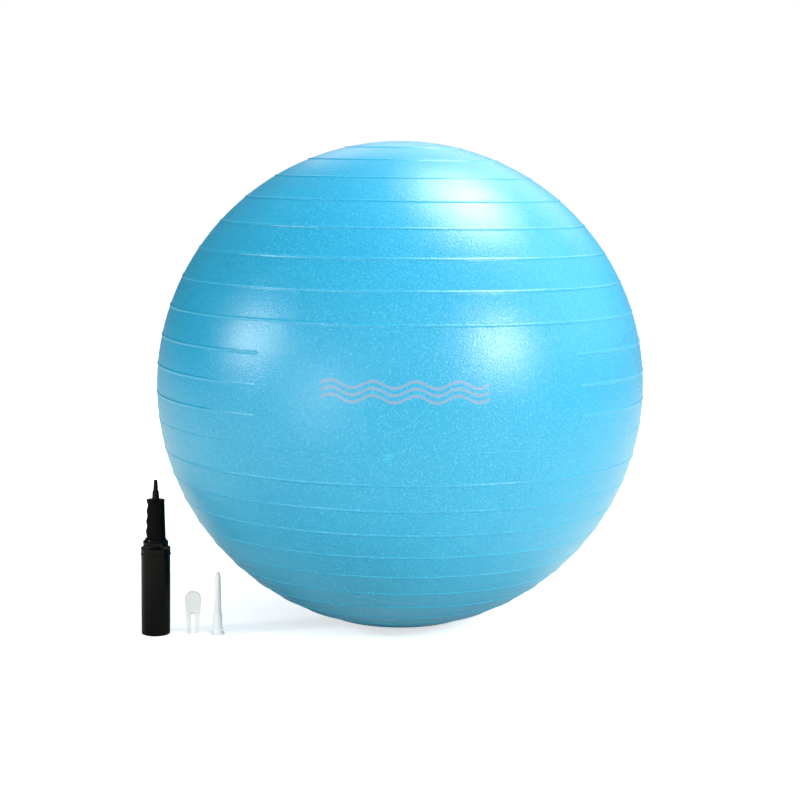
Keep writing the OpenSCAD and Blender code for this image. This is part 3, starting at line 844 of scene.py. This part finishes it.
@dataclass
class ValvePlug:
    """The stopper that is pushed into the valve."""

    ball_radius: float = 325.0
    head_radius: float = 9.0
    head_height: float = 2.2
    groove_radius: float = 2.5
    groove_height: float = 2.0
    stem_length: float = 19.0
    stem_top_radius: float = 4.66
    stem_end_radius: float = 4.19
    lift: float = 0.7
    face_rim: float = 1.9
    face_slope: float = 0.8
    face_depth: float = 0.5
    face_crown: float = 0.35

    def build(self, middle: float) -> None:
        """Builds the plug and dresses it.

        Args:
            middle: Height of the valve's axis.
        """
        head = self.ball_radius + self.lift
        top, stem = head + self.head_height, head - self.groove_height
        rim = self.head_radius - self.face_rim
        corners = [(0.0, stem - self.stem_length, 0.0),
                   (self.stem_end_radius - 1.0, stem - self.stem_length, 0.4),
                   (self.stem_end_radius, stem - self.stem_length + 1.0, 0.6),
                   (self.stem_top_radius, stem, 0.2), (self.groove_radius, stem, 0.3),
                   (self.groove_radius, head, 0.4), (self.head_radius, head, 0.5),
                   (self.head_radius, top, 0.8), (rim, top, 0.5),
                   (rim - self.face_slope, top - self.face_depth, 0.5),
                   (0.0, top - self.face_crown, 0.0)]
        plug = valve_turned("valve_plug_tapered", corners, middle)
        dress(plug, WHITE_PP.material(), "plug", "valve_plug")


@dataclass
class PumpBarrel:
    """The pump's fixed part: the drafted barrel, its dished cap and the bush for the rod."""

    height: float = 108.0
    foot_radius: float = 18.7
    mouth_radius: float = 19.3
    foot_round: float = 2.6
    recess: float = 0.8
    recess_radius: float = 14.2
    recess_mouth: float = 14.9
    bore: float = 16.6
    floor: float = 2.8
    bead_radius: float = 20.0
    bead_height: float = 1.8
    cap_radius: float = 19.5
    cap_height: float = 7.7
    rim: float = 1.6
    dish: float = 1.2
    spigot: float = 11.2
    bush: float = 9.4
    bush_top: float = 109.9
    rod_hole: float = 6.9

    def barrel(self, axis: Vector) -> bpy.types.Object:
        """Builds the barrel with its recessed foot and the bead round its mouth."""
        bead = self.height - self.bead_height
        return turned_piece("pump_barrel_drafted", [
            (0.0, self.recess, 0.0), (self.recess_radius, self.recess, 0.5),
            (self.recess_mouth, 0.0, 0.4),
            (self.foot_radius, 0.0, self.foot_round), (self.mouth_radius, bead, 0.35),
            (self.bead_radius, bead, 0.7), (self.bead_radius, self.height, 0.7),
            (self.bore, self.height, 0.3), (self.bore, self.floor, 1.2), (0.0, self.floor, 0.0),
        ], axis, segments=WIDE_SEGMENTS)

    def cap(self, axis: Vector) -> bpy.types.Object:
        """Builds the cap with its rim, its dish and the spigot inside the barrel."""
        top, low = self.height + self.cap_height, self.height - self.spigot
        bush, lip = self.bush + 0.1, self.cap_radius - self.rim
        return turned_piece("barrel_cap_dished", [
            (bush, low, 0.2), (self.bore - 0.1, low, 0.5), (self.bore - 0.1, self.height + 0.05, 0.0),
            (self.cap_radius, self.height + 0.05, 0.3), (self.cap_radius, top, 0.9),
            (lip, top, 0.5), (lip - 0.4, top - self.dish, 0.4),
            (self.bush + 0.3, top - self.dish, 0.5), (self.bush, top, 0.6),
            (self.rod_hole, top, 0.3), (self.rod_hole, self.bush_top, 0.0),
            (bush, self.bush_top, 0.0)], axis, closed=True, segments=WIDE_SEGMENTS)

    def build(self, axis: Vector) -> None:
        """Builds the barrel's pieces and dresses them.

        Args:
            axis: The pump's axis.
        """
        black = BLACK_ABS.material()
        dress(self.barrel(axis), black, "pump_barrel", "pump_barrel")
        dress(self.cap(axis), black, "pump_barrel", "barrel_cap")
        dress_node("rod_bush", NATURAL_NYLON.material())


@dataclass
class PumpRod:
    """The hollow rod with its piston, which slides in the barrel."""

    foot: float = 3.1
    top: float = 137.3
    radius: float = 6.6
    bore: float = 3.4

    def build(self, axis: Vector) -> None:
        """Builds the rod, and dresses it and the piston's parts.

        Args:
            axis: The pump's axis.
        """
        rod = turned_piece("rod_tube_turned", [
            (self.bore, self.foot, 0.2), (self.radius, self.foot, 0.5),
            (self.radius, self.top, 0.5), (self.bore, self.top, 0.2)], axis, closed=True)
        dress(rod, BLACK_ACETAL.material(), "pump_rod", "rod_tube")
        nylon, rubber = NATURAL_NYLON.material(), NITRILE.material()
        for node in ("piston_head", "piston_washer", "piston_nut"):
            dress_node(node, nylon)
        for node in ("piston_cup", "bumper_ring"):
            dress_node(node, rubber)


@dataclass
class PumpHandle:
    """The handle: collar, finger grip with the check valve in it, end cap and nozzle."""

    collar_foot: float = 118.7
    collar_radius: float = 16.7
    collar_height: float = 5.3
    shoulder_height: float = 3.3
    grip_foot: float = 127.3
    grip_height: float = 49.2
    foot_half: float = 13.2
    top_half: float = 11.5
    flatness: float = 0.84
    oval_power: float = 2.3
    finger_depth: float = 1.2
    finger_pitch: float = 13.7
    finger_start: float = 2.6
    rod_hole: float = 6.7
    chamber_top: float = 142.6
    spigot_foot: float = 168.4
    spigot_hole: float = 4.3
    cap_thickness: float = 2.6
    cap_lip: float = 0.4
    air: float = 1.3
    nozzle_spigot: float = 4.2
    nozzle_seat: float = 4.9
    nozzle_step: float = 3.4
    nozzle_tip: float = 2.4
    nozzle_rise: float = 11.0
    nozzle_length: float = 25.9
    spigot_length: float = 9.0
    grip_edge: float = 0.7
    edge_gap: float = 0.25
    cap_edge: float = 0.6
    cap_foot_edge: float = 0.35
    sides: int = 144
    levels: int = 96
    edge_steps: int = 6

    @property
    def grip_top(self) -> float:
        """Height of the grip's top face."""
        return self.grip_foot + self.grip_height

    def oval(self, turn: float) -> float:
        """Reach of the rounded oval in a direction, where 1 is half its width."""
        power = self.oval_power
        return (abs(math.cos(turn)) ** power + abs(math.sin(turn)) ** power) ** (-1 / power)

    def oval_ring(self, axis: Vector, half: float, height: float, inset: float,
                  wave: float = 0.0) -> list[Point]:
        """One ring of the rounded oval.

        Args:
            axis: The pump's axis.
            half: Half the oval's width.
            height: Height of the ring.
            inset: Distance that the ring is drawn in by.
            wave: Depth of the finger wave on the -X side, below 0 for a hollow.

        Returns:
            The ring's points.
        """
        points = []
        for k in range(self.sides):
            turn = 2 * math.pi * k / self.sides
            cosine = math.cos(turn)
            reach = half * self.oval(turn) - inset
            hollow = cosine * cosine * wave if cosine < 0 else 0.0
            points.append((axis.x + (reach + hollow) * cosine,
                           axis.y + reach * self.flatness * math.sin(turn), height))
        return points

    def grip_ring(self, axis: Vector, height: float, inset: float) -> list[Point]:
        """One ring of the grip at a height above its foot, with its taper and finger waves."""
        half = self.foot_half + (self.top_half - self.foot_half) * height / self.grip_height
        phase = 2 * math.pi * (height - self.finger_start) / self.finger_pitch
        wave = -self.finger_depth / 2 * (1 + math.cos(phase))
        return self.oval_ring(axis, half, self.grip_foot + height, inset, wave)

    def circle(self, axis: Vector, radius: float, height: float) -> list[Point]:
        """One round ring with as many points as the grip's own rings."""
        turns = (2 * math.pi * k / self.sides for k in range(self.sides))
        return [(axis.x + radius * math.cos(a), axis.y + radius * math.sin(a), height)
                for a in turns]

    def quarter(self, edge: float) -> list[Flat]:
        """Drop and inset of each point of a rounded edge, from its side to its flat."""
        leans = (math.pi / 2 * k / self.edge_steps for k in range(self.edge_steps + 1))
        return [(edge * (1 - math.sin(a)), edge * (1 - math.cos(a))) for a in leans]

    def grip(self, axis: Vector) -> bpy.types.Object:
        """Builds the grip: rounded oval rings outside, and the bores inside."""
        draft = MeshDraft()
        edge, gap = self.grip_edge, self.edge_gap
        straight = self.grip_height - 2 * (edge + gap)
        steps = self.quarter(edge)[::-1]
        steps += [(edge + gap + straight * k / (self.levels - 2), 0.0)
                  for k in range(self.levels - 1)]
        steps += [(self.grip_height - drop, inset) for drop, inset in self.quarter(edge)]
        rings = [draft.ring(self.grip_ring(axis, height, inset)) for height, inset in steps]
        inside = [(self.spigot_hole, self.grip_top), (self.spigot_hole, self.spigot_foot),
                  (self.air, self.spigot_foot), (self.air, self.chamber_top),
                  (self.rod_hole, self.chamber_top), (self.rod_hole, self.grip_foot)]
        rings += [draft.ring(self.circle(axis, r, z)) for r, z in inside]
        draft.tube(rings, closed=True)
        return draft.finish("grip_body_waved")

    def end_cap(self, axis: Vector) -> bpy.types.Object:
        """Builds the grip's end cap, an oval plate with rounded edges and a round hole."""
        draft = MeshDraft()
        half, edge, low = self.top_half + self.cap_lip, self.cap_edge, self.cap_foot_edge
        section = [(low * (1 - math.cos(a)), low * (1 - math.sin(a)))
                   for a in (0.0, math.pi / 4, math.pi / 2)]
        section += [(edge, 0.0), (self.cap_thickness - edge - 0.2, 0.0)]
        section += [(self.cap_thickness - drop, inset) for drop, inset in self.quarter(edge)]
        section += [(self.cap_thickness, edge + 0.5)]
        rings = [draft.ring(self.oval_ring(axis, half, self.grip_top + height, inset))
                 for height, inset in section]
        rings += [draft.ring(self.circle(axis, self.spigot_hole, self.grip_top + height))
                  for height in (self.cap_thickness, 0.0)]
        draft.tube(rings, closed=True)
        return draft.finish("grip_cap_bevelled")

    def collar(self, axis: Vector) -> bpy.types.Object:
        """Builds the collar with the shoulder that sweeps up into the grip."""
        flange = self.collar_foot + self.collar_height
        top = flange + self.shoulder_height
        return turned_piece("grip_collar_swept", [
            (self.rod_hole, self.collar_foot, 0.3),
            (self.collar_radius, self.collar_foot, 0.8), (self.collar_radius, flange, 1.1),
            (self.foot_half + 2.0, flange + 0.35, 2.4), (self.foot_half + 0.5, top, 0.4),
            (self.rod_hole, top, 0.0)], axis, closed=True, segments=WIDE_SEGMENTS)

    def nozzle(self, axis: Vector) -> bpy.types.Object:
        """Builds the stepped nozzle with its spigot and its air channel."""
        cap = self.grip_top + self.cap_thickness
        foot, seat = cap - self.spigot_length, cap + 0.1
        step, tip = cap + self.nozzle_rise, cap + self.nozzle_length
        return turned_piece("pump_nozzle_stepped", [
            (self.air, foot, 0.1), (self.nozzle_spigot, foot, 0.3),
            (self.nozzle_spigot, seat, 0.0), (self.nozzle_seat, seat, 0.35),
            (self.nozzle_spigot, step, 0.5), (self.nozzle_step, step, 0.35),
            (self.nozzle_tip, tip, 0.5), (self.air, tip, 0.25)], axis, closed=True)

    def build(self, axis: Vector) -> None:
        """Builds the handle's pieces and dresses them.

        Args:
            axis: The pump's axis.
        """
        black, grip = BLACK_ABS.material(), BLACK_PP.material()
        dress(self.collar(axis), black, "pump_handle", "grip_collar")
        dress(self.grip(axis), grip, "pump_handle", "grip_body")
        dress(self.end_cap(axis), grip, "pump_handle", "grip_cap")
        dress(self.nozzle(axis), black, "pump_handle", "pump_nozzle")
        dress_node("check_cage", NATURAL_NYLON.material())
        rubber = NITRILE.material()
        for node in ("nozzle_seal", "check_disc"):
            dress_node(node, rubber)


@dataclass
class PlugPuller:
    """The flat fork that lifts the plug: a round head and two wedged prongs."""

    height: float = 57.5
    tip_flat: float = 0.3
    head_radius: float = 10.8
    tip_half: float = 6.8
    slot_tip_half: float = 2.65
    slot_radius: float = 2.95
    slot_height: float = 27.0
    prong: float = 4.15
    thickness: float = 3.6
    tip_thickness: float = 1.4
    wedge: float = 21.0
    scoop: float = 2.6
    edge: float = 0.45
    flank_break: float = 30.0
    slot_taper: float = 0.3

    def outline(self) -> list[Flat]:
        """Points round the fork, seen from the front, in millimetres from its foot's middle."""
        head, tip = self.height - self.head_radius, self.prong / 2
        top = self.slot_height - self.slot_radius
        wall = self.slot_tip_half + self.slot_taper * self.wedge / top

        def arc(x: float, z: float, radius: float, start: float, end: float,
                steps: int) -> list[Flat]:
            """Points on an arc from one angle to another, in degrees."""
            angles = (math.radians(start + (end - start) * k / steps) for k in range(steps + 1))
            return [(x + radius * math.cos(a), z + radius * math.sin(a)) for a in angles]

        side = self.slot_tip_half + tip
        points = arc(0.0, head, self.head_radius, 0, 180, 48)
        points += [(-self.flank(z), z) for z in (self.flank_break, self.wedge)]
        points += arc(-side, tip, tip, 180, 360, 20)
        points += [(-wall, self.wedge)]
        points += arc(0.0, top, self.slot_radius, 180, 0, 28)
        points += [(wall, self.wedge)]
        points += arc(side, tip, tip, 180, 360, 20)
        points += [(self.flank(z), z) for z in (self.wedge, self.flank_break)]
        return points

    def flank(self, height: float) -> float:
        """Half the fork's width on its straight flank."""
        low, high = self.prong / 2, self.height - self.head_radius
        return self.tip_half + (self.head_radius - self.tip_half) * (height - low) / (high - low)

    def build(self, centre: Vector) -> None:
        """Builds the puller and dresses it.

        Args:
            centre: Middle of the puller's foot.
        """
        work = bmesh.new()
        half = self.thickness / 2
        outline = self.outline()
        front = [work.verts.new((x, -half, z)) for x, z in outline]
        face = work.faces.new(front)
        shell = bmesh.ops.extrude_face_region(work, geom=[face])
        moved = [v for v in shell["geom"] if isinstance(v, bmesh.types.BMVert)]
        bmesh.ops.translate(work, verts=moved, vec=(0.0, self.thickness, 0.0))
        self.scoop_out(front)
        everything = [*work.verts, *work.edges, *work.faces]
        bmesh.ops.bisect_plane(work, geom=everything, plane_co=(0, 0, self.wedge),
                               plane_no=(0, 0, 1))
        for vertex in work.verts:
            if vertex.co.z < self.wedge:
                share = max(vertex.co.z, 0.0) / self.wedge
                limit = (self.tip_thickness + (self.thickness - self.tip_thickness) * share) / 2
                vertex.co.y = math.copysign(limit, vertex.co.y)
        low = bmesh.ops.bisect_plane(work, geom=[*work.verts, *work.edges, *work.faces],
                                     plane_co=(0, 0, self.tip_flat), plane_no=(0, 0, -1),
                                     clear_outer=True)
        rim = [e for e in low["geom_cut"] if isinstance(e, bmesh.types.BMEdge)]
        bmesh.ops.holes_fill(work, edges=rim, sides=0)
        bmesh.ops.recalc_face_normals(work, faces=work.faces)
        mesh = bpy.data.meshes.new("plug_puller_forked")
        for vertex in work.verts:
            vertex.co = Vector(((centre.x + vertex.co.x) * MM, (centre.y + vertex.co.y) * MM,
                                (vertex.co.z - self.tip_flat) * MM))
        work.to_mesh(mesh)
        work.free()
        piece = bpy.data.objects.new("plug_puller_forked", mesh)
        bpy.context.scene.collection.objects.link(piece)
        self.soften(piece)
        dress(piece, WHITE_PP.material(), "puller", "plug_puller")

    def scoop_out(self, front: list[bmesh.types.BMVert]) -> None:
        """Slopes the top of the slot back from the front face, so that it slides under the plug.

        Args:
            front: The points round the front face.
        """
        top = self.slot_height - self.slot_radius
        for vertex in front:
            across, up = vertex.co.x, vertex.co.z - top
            if up > 0.0 and math.isclose(math.hypot(across, up), self.slot_radius, rel_tol=1e-3):
                lift = self.scoop * up / self.slot_radius ** 2
                vertex.co.x += across * lift
                vertex.co.z += up * lift

    def soften(self, piece: bpy.types.Object) -> None:
        """Rounds the puller's edges and applies the rounding.

        Args:
            piece: The sharp-edged puller.
        """
        bevel = piece.modifiers.new("moulded_edges", "BEVEL")
        bevel.width, bevel.segments = self.edge * MM, 4
        bevel.limit_method, bevel.angle_limit = "ANGLE", math.radians(40)
        bevel.use_clamp_overlap = True
        shape = bpy.data.meshes.new_from_object(
            piece.evaluated_get(bpy.context.evaluated_depsgraph_get()))
        piece.modifiers.clear()
        piece.data = shape
        shape.shade_smooth()
        shape.set_sharp_from_angle(angle=math.radians(40))


@dataclass
class AdaptorTube:
    """The tapered tube that leads the pump's air into the ball's valve."""

    height: float = 83.3
    flange_radius: float = 9.05
    flange_height: float = 2.6
    foot_radius: float = 6.5
    top_radius: float = 5.6
    step_height: float = 28.8
    spout_foot: float = 4.9
    shoulder: float = 76.8
    shoulder_radius: float = 3.95
    tip_radius: float = 2.55
    socket: float = 4.25
    socket_depth: float = 24.0
    channel: float = 1.6
    step_slope: float = 0.35
    tip_slope: float = 1.2

    def build(self, axis: Vector) -> None:
        """Builds the adaptor and dresses it.

        Args:
            axis: The adaptor's axis.
        """
        tube = turned_piece("adaptor_tube_tapered", [
            (self.socket, 0.0, 0.3), (self.flange_radius, 0.0, 0.45),
            (self.flange_radius, self.flange_height, 0.7),
            (self.foot_radius, self.flange_height, 0.8), (self.top_radius, self.step_height, 0.5),
            (self.spout_foot, self.step_height + self.step_slope, 0.5),
            (self.shoulder_radius, self.shoulder, 3.0),
            (self.tip_radius + 0.4, self.height - self.tip_slope, 1.5),
            (self.tip_radius, self.height, 0.6),
            (self.channel, self.height, 0.3), (self.channel, self.socket_depth, 0.2),
            (self.socket, self.socket_depth, 0.2)], axis, closed=True)
        dress(tube, MILKY_PE.material(), "adaptor", "adaptor_tube")


class Side(Enum):
    """A side of the studio, by its direction from the object."""

    LEFT = (-1.0, 0.0, 0.0)
    RIGHT = (1.0, 0.0, 0.0)
    FRONT = (0.0, -1.0, 0.0)
    BACK = (0.0, 1.0, 0.0)
    TOP = (0.0, 0.0, 1.0)


@dataclass(frozen=True)
class SoftBox:
    """One studio light: its place from the ball's centre and its size in metres, and its power."""

    name: str
    place: Point
    width: float
    height: float
    watts: float


@dataclass
class Studio:
    """A white seamless floor, soft boxes and the camera."""

    ball: Ball
    lens: float = 80.77
    distance: float = 2421.25
    elevation: float = 7.0
    roll: float = 0.84
    shift: float = -0.0199
    sensor: float = 36.0
    card_glow: float = 0.62
    card: tuple[str, str] = ("f4f4f4", "f7f7f7")
    card_mottle_mm: float = 12.0
    card_half: float = 30.0
    bounce: str = "dcdcd0"
    room: dict[Side, float] = field(default_factory=lambda: {
        Side.LEFT: 0.0, Side.RIGHT: 0.95, Side.FRONT: 1.1, Side.BACK: 0.1, Side.TOP: 0.4})
    lights: tuple[SoftBox, ...] = (
        SoftBox("overhead_box", (0.98, 0.5, 2.58), 1.7, 1.1, 84.0),
        SoftBox("left_spot", (-2.58, -0.87, 0.88), 0.42, 0.42, 27.0),
        SoftBox("right_spot", (1.95, -1.88, 1.03), 0.6, 0.6, 46.0),
        SoftBox("right_veil", (2.48, 0.2, 1.36), 2.0, 2.0, 10.0),
        SoftBox("back_panel", (0.7, 2.6, 1.7), 3.2, 1.2, 18.0),
        SoftBox("kit_fill", (-1.5, -2.2, 0.0), 1.0, 1.0, 12.0),
    )

    @property
    def target(self) -> Vector:
        """The ball's centre, in metres."""
        return Vector((0.0, 0.0, self.ball.middle * MM))

    def floor(self) -> None:
        """Lays the seamless floor: white card, with the faint mottle of its paper."""
        work = bmesh.new()
        bmesh.ops.create_grid(work, x_segments=24, y_segments=24, size=self.card_half)
        mesh = bpy.data.meshes.new("studio_floor")
        work.to_mesh(mesh)
        work.free()
        floor = bpy.data.objects.new("studio_floor", mesh)
        bpy.context.scene.collection.objects.link(floor)
        material, tree = new_material("white_card")
        place = add_node(tree, "ShaderNodeTexCoord").outputs["Object"]
        mottle = add_node(tree, "ShaderNodeTexNoise", {
            "Vector": place, "Scale": 1 / (self.card_mottle_mm * MM), "Detail": 2.0})
        colour = add_node(tree, "ShaderNodeMix", {
            "Factor": mottle.outputs["Fac"], "A": linear_rgba(self.card[0]),
            "B": linear_rgba(self.card[1])}, data_type="RGBA")
        card = add_node(tree, "ShaderNodeBsdfDiffuse", {"Color": colour.outputs["Result"]})
        lit = add_node(tree, "ShaderNodeEmission", {
            "Color": (1, 1, 1, 1), "Strength": self.card_glow})
        bright = add_node(tree, "ShaderNodeAddShader", {0: card.outputs[0], 1: lit.outputs[0]})
        quiet = add_node(tree, "ShaderNodeBsdfDiffuse", {"Color": linear_rgba(self.bounce)})
        path = add_node(tree, "ShaderNodeLightPath")
        seen = add_node(tree, "ShaderNodeMixShader", {
            0: path.outputs["Is Camera Ray"], 1: quiet.outputs[0], 2: bright.outputs[0]})
        add_node(tree, "ShaderNodeOutputMaterial", {"Surface": seen.outputs[0]})
        mesh.materials.append(material)

    def light(self, box: SoftBox) -> None:
        """Hangs one soft box, turned to the ball.

        Args:
            box: The light's place, size and power.
        """
        lamp = bpy.data.lights.new(box.name, "AREA")
        lamp.shape, lamp.size, lamp.size_y = "RECTANGLE", box.width, box.height
        lamp.energy = box.watts
        holder = bpy.data.objects.new(box.name, lamp)
        bpy.context.scene.collection.objects.link(holder)
        holder.location = self.target + Vector(box.place)
        holder.rotation_euler = (-Vector(box.place)).to_track_quat("-Z", "Y").to_euler()

    def surroundings(self) -> None:
        """Makes the room: plain white behind the object, and a soft glow from each side."""
        world = bpy.data.worlds.new("white_room")
        world.use_nodes = True
        tree = world.node_tree
        tree.nodes.clear()
        way = add_node(tree, "ShaderNodeTexCoord").outputs["Generated"]
        strength: bpy.types.NodeSocket | float = 0.0
        for side, glow in self.room.items():
            facing = add_node(tree, "ShaderNodeVectorMath", {0: way, 1: side.value},
                              operation="DOT_PRODUCT").outputs["Value"]
            seen = add_node(tree, "ShaderNodeMath", {0: facing, 1: 0.0},
                            operation="MAXIMUM").outputs[0]
            share = add_node(tree, "ShaderNodeMath", {0: seen, 1: 2.0},
                             operation="POWER").outputs[0]
            strength = add_node(tree, "ShaderNodeMath", {0: share, 1: glow, 2: strength},
                                operation="MULTIPLY_ADD").outputs[0]
        white = add_node(tree, "ShaderNodeBackground", {"Color": (1, 1, 1, 1), "Strength": 1.0})
        walls = add_node(tree, "ShaderNodeBackground", {"Color": (1, 1, 1, 1),
                                                        "Strength": strength})
        path = add_node(tree, "ShaderNodeLightPath")
        room = add_node(tree, "ShaderNodeMixShader", {
            0: path.outputs["Is Camera Ray"], 1: walls.outputs[0], 2: white.outputs[0]})
        add_node(tree, "ShaderNodeOutputWorld", {"Surface": room.outputs[0]})
        bpy.context.scene.world = world
        bpy.context.scene.view_settings.view_transform = "Standard"

    def camera(self) -> None:
        """Stands the camera a little above the ball's middle, and looks straight at it."""
        lens = bpy.data.cameras.new("studio_camera")
        lens.lens, lens.sensor_width, lens.shift_y = self.lens, self.sensor, self.shift
        camera = bpy.data.objects.new("studio_camera", lens)
        bpy.context.scene.collection.objects.link(camera)
        rise = math.radians(self.elevation)
        back = Vector((0.0, -math.cos(rise), math.sin(rise)))
        camera.location = self.target + back * self.distance * MM
        aim = (-back).to_track_quat("-Z", "Y").to_matrix().to_4x4()
        camera.rotation_euler = (aim @ Matrix.Rotation(math.radians(self.roll), 4, "Z")).to_euler()
        bpy.context.scene.camera = camera

    def build(self) -> None:
        """Sets up the floor, the lights, the room and the camera."""
        self.floor()
        for box in self.lights:
            self.light(box)
        self.surroundings()
        self.camera()
        log.info("studio with %d soft boxes", len(self.lights))


def main() -> None:
    """Builds the ball, the pump, the loose accessories and the studio, in that order."""
    logging.basicConfig(level=logging.INFO, format="%(name)s: %(message)s")
    ball = Ball()
    ball.build()
    ValvePlug().build(ball.middle)
    axis = box_centre("pump_barrel")
    PumpBarrel().build(axis)
    PumpRod().build(axis)
    PumpHandle().build(axis)
    PlugPuller().build(box_centre("plug_puller"))
    AdaptorTube().build(box_centre("adaptor_tube"))
    Studio(ball).build()


if __name__ == "__main__":
    main()
